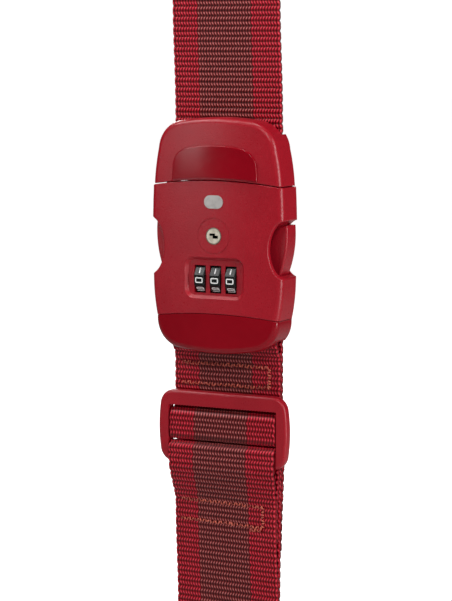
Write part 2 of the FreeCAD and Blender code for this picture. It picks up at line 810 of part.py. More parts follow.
def build_dials():
    """Three ten-sided wheels, each on a notched sleeve, on one steel shaft."""
    for index, x in enumerate(DIALS, start=1):
        wheel = DOC.addObject("Part::Prism", f"wheel_{index}")
        wheel.Polygon = 10
        bind(wheel, "Circumradius", "dial_radius")
        bind(wheel, "Height", "dial_wide")
        tilt = Rotation(Vector(1, 0, 0), -number("dial_tilt"))
        wheel.Placement = FreeCAD.Placement(Vector(), tilt.multiply(TURNS["x"]))
        start = (f"{x} - 0.5*dial_wide", "dial_y", "dial_z")
        at(wheel, *start)
        soft = rounded(
            f"wheel_soft_{index}",
            wheel,
            "0.35",
            lambda edge: edge_box(edge)[1][0] - edge_box(edge)[0][0] < 0.01,
        )
        bore = cylinder(f"wheel_bore_{index}", "x", "dial_bore", "dial_wide", start)
        piece(f"dial_wheel_{index}", cut(f"wheel_cut_{index}", soft, [bore]), "buckle_centre")

        tube = cylinder(f"sleeve_tube_{index}", "x", "dial_bore - 0.05", "dial_wide", start)
        hole = cylinder(f"sleeve_hole_{index}", "x", "shaft_radius + shaft_play", "dial_wide", start)
        notch = box(
            f"sleeve_notch_{index}",
            (f"{x} - 3", "dial_y + 2.3", "dial_z - 1"),
            (f"{x} + 3", "dial_y + 5", "dial_z + 1"),
        )
        sleeve = cut(f"sleeve_cut_{index}", tube, [hole, notch])
        piece(f"dial_sleeve_{index}", sleeve, "buckle_centre")

    rod("dial_shaft", "shaft_radius", "12.6", "dial_y", "dial_z")
    leaf = box("leaf", ("-10.2", "-8.4", "-25.9"), ("10.2", "1.8", "-25.4"))
    foot = box("leaf_foot", ("-10.2", "1.3", "-29.4"), ("10.2", "1.8", "-25.4"))
    piece("detent_spring", fuse("detent", [leaf, foot]), "buckle_centre")


# --------------------------------------------------------------------------- slider

def build_slider():
    """A bowed frame with a centre bar, its slots rounded for the webbing."""
    right = [
        ("slider_side", "slider_half_tall", ("slider_half_wide", "0")),
        ("slider_side", "-slider_half_tall"),
    ]
    plan = front_pad("slider_plan", symmetric(right), "slider_back", "slider_back - slider_front")
    corners = rounded(
        "slider_corners",
        plan,
        "slider_corner",
        lambda edge: edge_box(edge)[1][1] - edge_box(edge)[0][1] > 4,
    )
    soft = rounded(
        "slider_soft",
        corners,
        "slider_round",
        lambda edge: in_plane(edge, "y", "slider_front") or in_plane(edge, "y", "slider_back"),
    )
    slots = []
    for name, low, high in (("upper", "bar_top", "slot_top"), ("lower", "slot_low", "bar_low")):
        block = box(f"{name}_slot", ("-slot_half", "-10", low), ("slot_half", "5", high))
        slots.append(rounded(
            f"{name}_slot_soft",
            block,
            "1.2",
            lambda edge: edge_box(edge)[1][1] - edge_box(edge)[0][1] > 10,
        ))
    thin_front = box("bar_thin_front", ("-slot_half", "-10", "slot_low + 0.01"),
                     ("slot_half", "bar_front", "slot_top - 0.01"))
    thin_back = box("bar_thin_back", ("-slot_half", "bar_back", "bar_low - 0.4"),
                    ("slot_half", "5", "bar_top + 0.4"))
    thin_low = box("bar_thin_low", ("-slot_half", "-10", "-20"),
                   ("slot_half", "low_bar_front", "slot_low + 0.01"))
    shape = cut("slider_cut", soft, slots + [thin_front, thin_back, thin_low])
    piece("strap_slider", shape, "slider_centre")


# --------------------------------------------------------------------------- webbing

TOP_RUN = "loop_tall - 0.5*web_thick"
FLOOR_RUN = "0.5*web_thick"
BACK_RUN = "333"
BACK_START = "296"
LOWER_FRONT = "-1.8"


def build_webbing():
    """The two lengths of webbing, cut into the stretches that move together."""
    webbing("strap_upper_front", [
        ("-5.6", "buckle_centre + 38"),
        ("-5.6", "buckle_centre + upper_pin_z - bend_wrap", "bend_wrap"),
        ("0", "buckle_centre + upper_pin_z - bend_wrap", "bend_wrap"),
        ("0", TOP_RUN, "loop_bend"),
        ("45", TOP_RUN),
    ])
    webbing("strap_top_front", [("45", TOP_RUN), ("160", TOP_RUN)])
    webbing("strap_top_back", [("160", TOP_RUN), (BACK_START, TOP_RUN)])
    webbing("strap_back", [
        (BACK_START, TOP_RUN),
        (BACK_RUN, TOP_RUN, "loop_bend"),
        (BACK_RUN, "loop_bend + 4"),
    ])
    webbing("strap_bottom", [
        (BACK_RUN, "loop_bend + 4"),
        (BACK_RUN, FLOOR_RUN, "loop_bend"),
        (LOWER_FRONT, FLOOR_RUN, "loop_bend"),
        (LOWER_FRONT, "loop_bend + 4"),
    ])
    webbing("strap_lower_front", [
        (LOWER_FRONT, "loop_bend + 4"),
        (LOWER_FRONT, "slider_centre - 30.9", "12"),
        ("-5.9", "slider_centre - 16.1", "8"),
        ("-5.9", "slider_centre - 7.0", "1.4"),
        ("-0.1", "slider_centre - 7.0", "1.4"),
        ("-0.1", "slider_centre - 46.5"),
    ])
    webbing("running_strap", [
        ("0", "buckle_centre - 67.6"),
        ("0", "buckle_centre - 50.5", "6"),
        ("-3.9", "buckle_centre - 44.5", "5"),
        ("-3.9", "buckle_centre + lower_pin_z + bend_wrap", "bend_wrap"),
        ("1.7", "buckle_centre + lower_pin_z + bend_wrap", "bend_wrap"),
        ("1.7", "buckle_centre - 69", "8"),
        ("3.3", "buckle_centre - 80", "8"),
        ("3.3", "buckle_centre - 131.6"),
    ])
    webbing("running_tail", [
        ("-0.1", "slider_centre + 12.5"),
        ("-0.1", "slider_centre + 8.3", "1.0"),
        ("-5.2", "slider_centre + 6.3", "1.6"),
        ("-5.2", "slider_centre - 3.9", "1.6"),
        ("1.6", "slider_centre - 5.1", "1.4"),
        ("1.6", "4.1", "loop_bend - 3.4"),
        ("70", "4.1", "60"),
        ("104", "2.45", "60"),
        ("300", "2.45", "0.85"),
        ("300", "4.15", "0.85"),
        ("274", "4.15"),
    ])


build_upper_half()
build_arm("right_release_arm", 1)
build_arm("left_release_arm", -1)
build_housing()
build_badge()
build_lock()
build_dials()
build_slider()
build_webbing()
DOC.recompute()

# --------------------------------------------------------------------------- test and write

for thing in DOC.Objects:
    if "Invalid" in thing.State or "Error" in thing.State:
        raise RuntimeError(f"{thing.Label} failed: {thing.State}")
for thing in PIECES:
    if thing.Shape.isNull() or not thing.Shape.isValid():
        raise RuntimeError(f"{thing.Label} has no valid shape")
os.makedirs("parts", exist_ok=True)
for thing in PIECES:
    thing.Shape.exportStep(f"parts/{thing.Label}.step")
    bounds = thing.Shape.optimalBoundingBox(False)
    print(
        f"{thing.Label:20s} solids {len(thing.Shape.Solids)} volume {thing.Shape.Volume:9.1f}"
        f" x {bounds.XMin:7.2f} {bounds.XMax:7.2f} y {bounds.YMin:7.2f} {bounds.YMax:7.2f}"
        f" z {bounds.ZMin:7.2f} {bounds.ZMax:7.2f}"
    )
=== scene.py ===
"""Looks of the luggage strap: woven webbing, stitching, moulded plastic, dial figures and a plain studio.

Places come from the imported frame.  Lengths in the webbing code are millimetres, and turn into metres
when a mesh is made.
"""

import json
import math

import bpy
import numpy as np
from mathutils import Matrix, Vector


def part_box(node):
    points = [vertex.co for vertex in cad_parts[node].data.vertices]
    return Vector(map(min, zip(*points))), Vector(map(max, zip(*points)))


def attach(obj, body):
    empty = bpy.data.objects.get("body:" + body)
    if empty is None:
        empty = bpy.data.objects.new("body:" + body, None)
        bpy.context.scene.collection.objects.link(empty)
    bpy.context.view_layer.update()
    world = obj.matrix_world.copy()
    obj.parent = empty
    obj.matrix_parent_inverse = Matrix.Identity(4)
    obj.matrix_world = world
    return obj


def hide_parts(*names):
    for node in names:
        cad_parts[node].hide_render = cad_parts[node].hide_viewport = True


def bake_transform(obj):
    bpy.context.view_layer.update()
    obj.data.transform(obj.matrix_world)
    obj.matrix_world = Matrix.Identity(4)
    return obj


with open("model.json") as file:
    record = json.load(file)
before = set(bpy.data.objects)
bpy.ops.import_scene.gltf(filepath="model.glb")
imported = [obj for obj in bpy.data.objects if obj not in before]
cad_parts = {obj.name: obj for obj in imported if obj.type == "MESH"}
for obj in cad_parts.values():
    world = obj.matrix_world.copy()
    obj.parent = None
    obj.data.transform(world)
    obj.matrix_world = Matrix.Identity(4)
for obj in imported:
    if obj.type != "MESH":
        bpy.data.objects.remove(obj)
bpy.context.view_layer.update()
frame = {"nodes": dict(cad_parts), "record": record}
NODES = frame["nodes"]

MM = 0.001


def box_mm(node):
    """A CAD node's lowest and highest corners in millimetres."""
    low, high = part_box(node)
    return np.array(low) / MM, np.array(high) / MM


# The buckle's own centre: its back face lies 3.6 mm behind the webbing's plane.
BACK_FACE = 3.6
FRONT_PLANE = box_mm("back_cover")[1][1] - BACK_FACE
BUCKLE_Z = (box_mm("end_cap")[0][2] + box_mm("male_front_shell")[1][2]) / 2
SLIDER_Z = (box_mm("strap_slider")[0][2] + box_mm("strap_slider")[1][2]) / 2
LOOP_TOP = box_mm("strap_upper_front")[1][2]
BACK_OUTSIDE = box_mm("strap_back")[1][1]


# --------------------------------------------------------------------------- node helpers

class Tree:
    """A material's nodes, built with short calls; inputs are numbers, colours or other outputs."""

    def __init__(self, name):
        self.material = bpy.data.materials.new(name)
        self.material.use_nodes = True
        self.tree = self.material.node_tree
        self.shader = self.tree.nodes["Principled BSDF"]

    def feed(self, socket, value):
        if isinstance(value, bpy.types.NodeSocket):
            self.tree.links.new(value, socket)
        elif isinstance(value, (tuple, list)) and len(value) == 3 and len(socket.default_value) == 4:
            socket.default_value = (*value, 1.0)
        else:
            socket.default_value = value

    def add(self, kind, inputs=None, **settings):
        node = self.tree.nodes.new("ShaderNode" + kind)
        for key, value in settings.items():
            setattr(node, key, value)
        for key, value in (inputs or {}).items():
            self.feed(node.inputs[key], value)
        return node

    def math(self, operation, first, second=0.0, clamp=False):
        node = self.add("Math", {0: first, 1: second}, operation=operation, use_clamp=clamp)
        return node.outputs[0]

    def folded(self, value):
        """0 in the middle of each whole step of a value, and 1 at its ends."""
        doubled = self.math("MULTIPLY", self.math("FRACT", value), 2.0)
        return self.math("ABSOLUTE", self.math("SUBTRACT", doubled, 1.0))

    def ramp(self, value, low, high, start=0.0, end=1.0):
        """Smoothly from start to end while value goes from low to high."""
        settings = {"Value": value, "From Min": low, "From Max": high, "To Min": start, "To Max": end}
        return self.add("MapRange", settings, interpolation_type="SMOOTHSTEP").outputs[0]

    def mix(self, share, first, second, blend="MIX"):
        node = self.add("Mix", data_type="RGBA", blend_type=blend)
        for index, value in ((0, share), (6, first), (7, second)):
            self.feed(node.inputs[index], value)
        return node.outputs[2]

    def noise(self, vector, scale, detail=2.0, rough=0.5):
        inputs = {"Vector": vector, "Scale": scale, "Detail": detail, "Roughness": rough}
        return self.add("TexNoise", inputs).outputs["Fac"]

    def bump(self, height, distance, strength=1.0, normal=None):
        inputs = {"Height": height, "Distance": distance, "Strength": strength}
        if normal is not None:
            inputs["Normal"] = normal
        return self.add("Bump", inputs).outputs[0]

    def set(self, **values):
        for key, value in values.items():
            self.feed(self.shader.inputs[key.replace("_", " ")], value)
        return self.material


# --------------------------------------------------------------------------- materials

STRIPE_FIRST, STRIPE_LAST = 9.0, 28.0  # yarn columns of the brown stripe
KEYWAY_SHADE_DEPTHS = (0.15, 0.60)  # depths behind the key's front face between which painted shade darkens the keyway
FINE_GRAIN = 1900.0  # grains per metre of the moulded texture
BROAD_GRAIN = 60.0
METAL_GRAIN = 5200.0
METAL_PATCHES = 420.0


def webbing_material():
    """Polyester yarns: a colour for each column, painted shade between the yarns and in the grooves between
    ribs, a painted highlight on the crests, fine filaments along them.
    """
    t = Tree("webbing")
    weave = t.add("UVMap", uv_map="weave").outputs[0]
    split = t.add("SeparateXYZ", {0: weave})
    column, row = split.outputs[0], split.outputs[1]
    yarn = t.math("FLOOR", column)
    inside = t.math("GREATER_THAN", column, STRIPE_FIRST)
    inside = t.math("MULTIPLY", inside, t.math("LESS_THAN", column, STRIPE_LAST))

    def either(red, brown):
        return t.mix(inside, red, brown)

    cell = t.add("CombineXYZ", {0: yarn, 1: t.math("FLOOR", row)})
    fleck = t.add("TexWhiteNoise", {"Vector": cell.outputs[0]}, noise_dimensions="3D").outputs[0]
    colour = t.mix(
        t.ramp(fleck, 0.0, 1.0, 0.0, 0.35),
        either((0.430, 0.0060, 0.0180), (0.215, 0.0215, 0.0225)),
        either((0.320, 0.0040, 0.0125), (0.145, 0.0132, 0.0142)),
    )
    stretched = t.add("Mapping", {"Vector": weave, "Scale": (9.0, 0.7, 1.0)}).outputs[0]
    filament = t.noise(stretched, 1.0, 3.0, 0.6)
    across = t.folded(column)
    along = t.folded(row)
    # Painted highlight: a pinkish colour on the crest of each yarn and rib, broken up by the filaments.
    crest = t.math("MULTIPLY", t.ramp(across, 0.00, 0.55, 1.0, 0.0), t.ramp(along, 0.05, 0.60, 1.0, 0.0))
    painted_highlight = t.math("MULTIPLY", crest, t.ramp(filament, 0.30, 0.62, 0.50, 1.0))
    colour = t.mix(painted_highlight, colour, either((0.980, 0.0820, 0.1280), (0.740, 0.2500, 0.2350)))

    # Painted shade: a dark colour in the gaps between yarns and in the grooves between ribs.
    gap = t.ramp(across, 0.42, 0.90, 0.0, 0.95)
    dip = t.ramp(along, 0.42, 1.0, 0.0, 0.80)
    shade = t.math("ADD", gap, t.math("MULTIPLY", dip, t.ramp(across, 0.0, 0.6, 0.6, 1.0)), clamp=True)
    colour = t.mix(shade, colour, either((0.050, 0.0004, 0.0018), (0.016, 0.0016, 0.0018)))

    normal = t.bump(filament, 0.05 * MM, 0.6)
    return t.set(Base_Color=colour, Roughness=0.38, Specular_IOR_Level=0.42, Specular_Tint=(1.0, 0.46, 0.48),
                 Normal=normal)


def grain(t, scale, detail=3.0):
    """A noise in the object's own space, in grains per metre."""
    place = t.add("TexCoord").outputs["Object"]
    return t.noise(place, scale, detail, 0.55)


def moulded_material(name, deep, light, roughness, relief, gloss=0.40):
    """Matte moulded plastic: fine spark-eroded grain with slight colour and gloss variation."""
    t = Tree(name)
    fine = grain(t, FINE_GRAIN)
    broad = grain(t, BROAD_GRAIN, 4.0)
    colour = t.mix(t.ramp(broad, 0.3, 0.7), deep, light)
    colour = t.mix(t.ramp(fine, 0.55, 0.75, 0.0, 0.35), colour, tuple(min(1.0, c * 1.7) for c in light))
    rough = t.ramp(fine, 0.3, 0.7, roughness - 0.04, roughness + 0.06)
    normal = t.bump(fine, 0.08 * MM, relief)
    return t.set(Base_Color=colour, Roughness=rough, Specular_IOR_Level=gloss, Normal=normal)


def gloss_material(name, colour, edge, roughness):
    """Polished plastic with faint polishing marks."""
    t = Tree(name)
    broad = grain(t, 45.0, 3.0)
    marks = grain(t, 700.0, 2.0)
    tint = t.mix(t.ramp(broad, 0.3, 0.7), colour, edge)
    rough = t.ramp(marks, 0.4, 0.8, roughness, roughness + 0.06)
    normal = t.bump(broad, 0.02 * MM, 0.2)
    return t.set(Base_Color=tint, Roughness=rough, Specular_IOR_Level=0.24, Normal=normal)


def metal_material(name, colour, roughness, worn, metallic=1.0):
    """Plated or plain metal with fine turning marks and dull patches."""
    t = Tree(name)
    fine = grain(t, METAL_GRAIN, 2.0)
    broad = grain(t, METAL_PATCHES, 4.0)
    tint = t.mix(t.ramp(broad, 0.35, 0.7), colour, worn)
    rough = t.ramp(fine, 0.3, 0.7, roughness - 0.06, roughness + 0.10)
    normal = t.bump(fine, 0.02 * MM, 0.35)
    return t.set(Base_Color=tint, Metallic=metallic, Roughness=rough, Normal=normal)


def key_material():
    """Nickel with painted shade that darkens it inside the keyway, behind the cylinder's front face."""
    t = Tree("key_nickel")
    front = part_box("key_cylinder")[0].y
    place = t.add("TexCoord").outputs["Object"]
    depth = t.math("SUBTRACT", t.add("SeparateXYZ", {0: place}).outputs[1], front)
    # Painted shade: the keyway goes dark with depth behind the front face.
    inside = t.ramp(depth, *(value * MM for value in KEYWAY_SHADE_DEPTHS))
    patches = t.ramp(grain(t, METAL_PATCHES, 4.0), 0.35, 0.7)
    tint = t.mix(patches, (0.80, 0.73, 0.60), (0.48, 0.43, 0.34))
    colour = t.mix(inside, tint, (0.012, 0.011, 0.010))
    rough = t.ramp(grain(t, METAL_GRAIN, 2.0), 0.3, 0.7, 0.28, 0.44)
    return t.set(Base_Color=colour, Metallic=0.55, Roughness=rough)


def thread_material():
    """Twisted sewing thread, lighter and more orange than the webbing."""
    t = Tree("sewing_thread")
    place = t.add("TexCoord").outputs["Object"]
    ply = t.add("TexWave", {"Vector": place, "Scale": 900.0, "Distortion": 2.0, "Detail": 2.0},
                bands_direction="DIAGONAL").outputs["Fac"]
    worn = t.noise(place, 800.0, 2.0)
    colour = t.mix(ply, (0.50, 0.062, 0.036), (0.74, 0.170, 0.100))
    colour = t.mix(t.ramp(worn, 0.42, 0.62, 0.0, 0.80), colour, (0.22, 0.012, 0.014))
    normal = t.bump(ply, 0.06 * MM, 0.8)
    return t.set(Base_Color=colour, Roughness=0.5, Normal=normal,
                 Sheen_Weight=0.3, Sheen_Roughness=0.4, Sheen_Tint=(1.0, 0.8, 0.75))


WEBBING = webbing_material()
THREAD = thread_material()
MATTE = moulded_material("red_matte", (0.315, 0.0040, 0.0128), (0.350, 0.0050, 0.0148), 0.31, 0.9)
GLOSS = gloss_material("red_gloss", (0.235, 0.0016, 0.0075), (0.265, 0.0022, 0.0090), 0.15)
DIAL = moulded_material("dial_black", (0.005, 0.006, 0.006), (0.009, 0.010, 0.010), 0.26, 0.2, 0.22)
INNER = moulded_material("inner_plastic", (0.016, 0.016, 0.017), (0.028, 0.028, 0.030), 0.5, 0.5)
NICKEL = metal_material("nickel", (0.30, 0.26, 0.20), 0.30, (0.20, 0.17, 0.13), 0.9)
STEEL = metal_material("steel", (0.56, 0.56, 0.57), 0.34, (0.40, 0.40, 0.41))
FIGURE = moulded_material("figure_white", (0.80, 0.80, 0.78), (0.88, 0.88, 0.86), 0.45, 0.15)
BADGE = metal_material("badge_enamel", (0.52, 0.50, 0.48), 0.36, (0.42, 0.40, 0.38), 0.6)

BY_SLOT = {
    "red_matte": MATTE,
    "red_gloss": GLOSS,
    "dial_black": DIAL,
    "inner_plastic": INNER,
    "nickel": NICKEL,
    "steel": STEEL,
    "badge_enamel": BADGE,
    "webbing": WEBBING,
}
for subpart in frame["record"]["subparts"]:
    part = NODES[subpart["node"]]
    part.data.materials.clear()
    part.data.materials.append(BY_SLOT[subpart["material_slot"]])
NODES["key_cylinder"].data.materials[0] = key_material()


# --------------------------------------------------------------------------- meshes

def make_object(name, points_mm, faces, material, smooth=True):
    """An object from points in millimetres."""
    mesh = bpy.data.meshes.new(name)
    mesh.from_pydata([], [], [])
    points = np.asarray(points_mm, float) * MM
    faces = np.asarray(faces, np.int32)
    size = faces.shape[1]
    mesh.vertices.add(len(points))
    mesh.vertices.foreach_set("co", points.ravel())
    mesh.loops.add(faces.size)
    mesh.loops.foreach_set("vertex_index", faces.ravel())
    mesh.polygons.add(len(faces))
    mesh.polygons.foreach_set("loop_start", np.arange(0, faces.size, size, dtype=np.int32))
    mesh.polygons.foreach_set("loop_total", np.full(len(faces), size, np.int32))
    mesh.update(calc_edges=True)
    mesh.polygons.foreach_set("use_smooth", np.full(len(faces), smooth))
    mesh.materials.append(material)
    thing = bpy.data.objects.new(name, mesh)
    bpy.context.scene.collection.objects.link(thing)
    return thing


# --------------------------------------------------------------------------- webbing

YARNS = 38
WIDTH = 49.2
PITCH = WIDTH / YARNS  # distance between warp yarns
ROW = 2.08  # distance between ribs
HALF_THICK = 0.70
ZIGZAG = 0.48  # how far a yarn swings sideways from rib to rib
RIB_RISE = 0.40
YARN_RISE = 0.34
LOOP_BEND = 24.0
WRAP = 2.8  # bend round a pin
SELVAGE = 0.25  # how far a rib bulges at the webbing's edges
SEAM_PRESS = 0.45  # share of the thickness that a row of stitches pulls in
SEAM_REACH = 1.1  # how far from the stitches that pull is felt
RIB_SHARPNESS = 0.75  # under 1 makes the ribs fuller than a sine
YARN_LOW, YARN_HIGH = 0.86, 1.10  # how unevenly the yarns stand
YARN_IN_GAP = 0.30  # share of a yarn's height that it keeps between ribs
SUNK = 0.66  # share of the relief that lies inside the plain ribbon
SWING_PEAK = 0.98  # under 1 rounds the corners of the zigzag
EDGE_YARNS = 1.5  # yarns at each edge that the selvage's bulge takes in
ROUNDED_YARNS = 0.8  # share of an edge yarn over which the section rounds off
ROW_SEEDS = 4096  # yarn cells in a column that differ


class Route:
    """A line in the YZ plane through points (y, z) or (y, z, bend radius)."""

    def __init__(self, points):
        spots = [np.array(point[:2], float) for point in points]
        self.parts = []  # (length, start, direction, bend: 0, or 1 / radius, negative to the right)
        start = spots[0]
        for before, here, after, point in zip(spots, spots[1:], spots[2:], points[1:-1]):
            along = (here - before) / np.linalg.norm(here - before)
            away = (after - here) / np.linalg.norm(after - here)
            turn = math.acos(max(-1.0, min(1.0, float(along @ away))))
            reach = point[2] * math.tan(turn / 2)
            first = here - along * reach
            if np.linalg.norm(first - start) > 1e-6:
                self.parts.append((float(np.linalg.norm(first - start)), start, along, 0.0))
            side = 1.0 if along[0] * away[1] - along[1] * away[0] > 0 else -1.0
            self.parts.append((point[2] * turn, first, along, side / point[2]))
            start = here + away * reach
        along = (spots[-1] - start) / np.linalg.norm(spots[-1] - start)
        self.parts.append((float(np.linalg.norm(spots[-1] - start)), start, along, 0.0))
        self.length = sum(part[0] for part in self.parts)

    def at(self, distances):
        """(y, z) and the direction at each distance along the line."""
        distances = np.asarray(distances, float)
        place = np.zeros((len(distances), 2))
        heading = np.zeros((len(distances), 2))
        begin = 0.0
        for index, (length, start, along, bend) in enumerate(self.parts):
            last = index == len(self.parts) - 1
            mine = (distances >= begin - 1e-9) & ((distances < begin + length) | last)
            s = distances[mine] - begin
            side = np.array([-along[1], along[0]])
            if bend == 0.0:
                place[mine] = start + s[:, None] * along
                heading[mine] = along
            else:
                angle = s * bend
                place[mine] = start + (np.sin(angle) / bend)[:, None] * along
                place[mine] += ((1 - np.cos(angle)) / bend)[:, None] * side
                heading[mine] = np.cos(angle)[:, None] * along + np.sin(angle)[:, None] * side
            begin += length
        return place, heading


class Strap:
    """One stretch of webbing: its route, and how it drifts sideways and twists along its way.

    drift is a list of (height z, sideways shift, shift along Y, twist in degrees), with z rising.
    A positive twist brings the +X edge forwards.
    """

    def __init__(self, points, drift=()):
        self.route = Route(points)
        self.drift = np.array(drift, float) if len(drift) else None

    def place(self, distances, across, lift):
        """Points in millimetres at distances along, across the width, lifted off the middle plane."""
        spots, heading = self.route.at(distances)
        spots = spots.copy()
        spots = spots[:, None, :]
        normal = np.stack([-heading[:, 1], heading[:, 0]], 1)[:, None, :]
        yz = spots + normal * lift[..., None]
        x = np.broadcast_to(across, lift.shape).copy()
        y = yz[..., 0]
        z = yz[..., 1]
        if self.drift is not None:
            knots = self.drift[:, 0]
            level = np.broadcast_to(spots[..., 1], lift.shape)
            shift, back, twist = (smooth_between(level, knots, self.drift[:, i]) for i in (1, 2, 3))
            angle = np.radians(twist)
            facing = np.abs(heading[:, 1])[:, None]
            y = y + back - x * np.sin(angle) * facing
            x = x * np.cos(angle * facing) + shift
        return np.stack([x, y + FRONT_PLANE, z], -1)


def smooth_between(value, knots, results):
    """Interpolates with smooth steps between knots."""
    index = np.clip(np.searchsorted(knots, value, side="right") - 1, 0, len(knots) - 2)
    share = np.clip((value - knots[index]) / (knots[index + 1] - knots[index]), 0.0, 1.0)
    share = share * share * (3 - 2 * share)
    return results[index] * (1 - share) + results[index + 1] * share


def relief(column, row, seed):
    """How high the weave stands at a yarn column and a rib row, and the yarn's sideways swing."""
    rng = np.random.default_rng(seed)
    uneven = rng.uniform(YARN_LOW, YARN_HIGH, (YARNS + 1, ROW_SEEDS))
    q = 2 * (column - np.floor(column)) - 1
    yarn = np.sqrt(np.clip(1 - q * q, 0.0, 1.0))
    rib = np.abs(np.sin(np.pi * row)) ** RIB_SHARPNESS
    slot = (np.floor(column).astype(int) % (YARNS + 1), np.floor(row).astype(int) % ROW_SEEDS)
    kept = YARN_IN_GAP + (1 - YARN_IN_GAP) * rib
    height = RIB_RISE * rib + YARN_RISE * yarn * kept * uneven[slot]
    swing = ZIGZAG * 2 / np.pi * np.arcsin(SWING_PEAK * np.sin(np.pi * (row - 0.5)))
    return height - SUNK * (RIB_RISE + YARN_RISE), swing


def pressed(seams, s, x):
    """How much of its thickness webbing keeps near rows of stitches."""
    kept = np.ones_like(x)
    for (s0, x0), (s1, x1) in seams:
        span = np.array([s1 - s0, x1 - x0])
        share = np.clip(((s - s0) * span[0] + (x - x0) * span[1]) / (span @ span), 0.0, 1.0)
        away = np.hypot(s - s0 - share * span[0], x - x0 - share * span[1])
        kept -= SEAM_PRESS * np.exp(-((away / SEAM_REACH) ** 2))
    return np.clip(kept, 0.3, 1.0)


def weave(name, strap, cross, rows, phase, seams):
    """A stretch of webbing's mesh: cross faces to a yarn and rows faces to a rib."""
    steps = max(2, int(round(strap.route.length / ROW * rows)))
    s = np.linspace(0.0, strap.route.length, steps + 1)
    count = YARNS * cross
    columns = np.arange(count + 1) / cross
    inner = np.minimum(columns, YARNS - columns)
    edge = np.sqrt(np.clip(1 - (1 - np.clip(inner / ROUNDED_YARNS, 0, 1)) ** 2, 0, 1))
    grid_column, grid_s = np.meshgrid(columns, s)
    row = grid_s / ROW + phase
    inside = np.clip(grid_column, 0, YARNS - 1e-6)
    outwards = np.clip(1 - inner / EDGE_YARNS, 0, 1) * np.sign(columns - YARNS / 2)
    bulge = SELVAGE * np.abs(np.sin(np.pi * row)) * outwards
    swing = relief(inside, row, 11)[1] * np.clip(inner / 2 + 0.45, 0, 1)
    x = grid_column * PITCH - WIDTH / 2 + swing + bulge
    kept = pressed(seams, grid_s, x)
    sides = []
    for face, seed, offset in ((1, 11, 0.0), (-1, 12, 0.5)):
        height = relief(inside, row + offset, seed)[0]
        sides.append(strap.place(s, x, face * edge * (HALF_THICK + height) * kept))
    front, back = sides
    ring = np.concatenate([front, back[:, -2:0:-1]], axis=1)
    total = ring.shape[1]
    points = ring.reshape(-1, 3)
    base = np.arange(steps)[:, None] * total
    k = np.arange(total)[None, :]
    nxt = (k + 1) % total
    quads = np.stack([base + k, base + total + k, base + total + nxt, base + nxt], -1).reshape(-1, 4)
    caps = []
    for ring_index, flip in ((0, False), (steps, True)):
        first = ring_index * total
        for j in range(count):
            a, b = first + j, first + j + 1
            c = first + (total - j - 1) % total if j + 1 < count else first + count
            d = first + (total - j) % total
            quad = [a, b, c, d]
            caps.append(quad[::-1] if flip else quad)
    clean = [quad for quad in caps if len(set(quad)) == 4]
    faces = np.concatenate([quads, np.array(clean)])
    thing = make_object(name, points, faces, WEBBING)
    ring_columns = np.concatenate([columns, columns[-2:0:-1]])
    ring_back = np.concatenate([np.zeros(count + 1), np.full(count - 1, 0.5)])
    uv = np.stack(
        [
            np.tile(ring_columns, steps + 1),
            ((s / ROW + phase)[:, None] + ring_back[None, :]).ravel(),
        ],
        1,
    )
    layer = thing.data.uv_layers.new(name="weave")
    layer.data.foreach_set("uv", uv[faces.ravel()].astype(np.float32).ravel())
    return thing


TOP_RUN = LOOP_TOP - HALF_THICK
PIN_UP = (box_mm("upper_webbing_pin")[0][2] + box_mm("upper_webbing_pin")[1][2]) / 2
PIN_LOW = (box_mm("lower_webbing_pin")[0][2] + box_mm("lower_webbing_pin")[1][2]) / 2
BACK_RUN = BACK_OUTSIDE - HALF_THICK - FRONT_PLANE
RUNNING_PHASE = 0.25
BLEND_START = box_mm("strap_top_front")[0][1] - FRONT_PLANE
BLEND_MIDDLE = box_mm("strap_top_front")[1][1] - FRONT_PLANE
BLEND_END = box_mm("strap_top_back")[1][1] - FRONT_PLANE
LOWER_LANE = -1.8
FLOOR_RUN = HALF_THICK
LOOP_RISE = box_mm("strap_bottom")[1][2]

# How each stretch wanders, as (height, shift along X, shift along Y, twist in degrees).
UPPER_DRIFT = [
    (BUCKLE_Z + 37, 0.6, 0, 0),
    (BUCKLE_Z + 51, 0.36, 0, 0),
    (BUCKLE_Z + 95, -0.8, 0, 0),
    (BUCKLE_Z + 124, 0, 0, 0),
]
LOWER_DRIFT = [
    (30, 0, 0, 0),
    (SLIDER_Z - 77, 1.0, 0, 4.0),
    (SLIDER_Z - 35, -0.2, 0, 4.5),
    (SLIDER_Z - 16, -0.3, 0, 0.5),
    (SLIDER_Z - 2, 0, 0, 0),
]
TAIL_DRIFT = [
    (30, 0, 0, 0),
    (SLIDER_Z - 77, 0.3, -0.9, 4.0),
    (SLIDER_Z - 27, 0.5, -0.7, 3.2),
    (SLIDER_Z - 9, 0, 0, 0),
    (SLIDER_Z + 53, 0, 0, 0),
]
RUNNING_DRIFT = [
    (BUCKLE_Z - 131.6, -0.6, -0.5, 1.5),
    (SLIDER_Z - 10, 0, 0, 0),
    (BUCKLE_Z, 0, 0, 0),
]

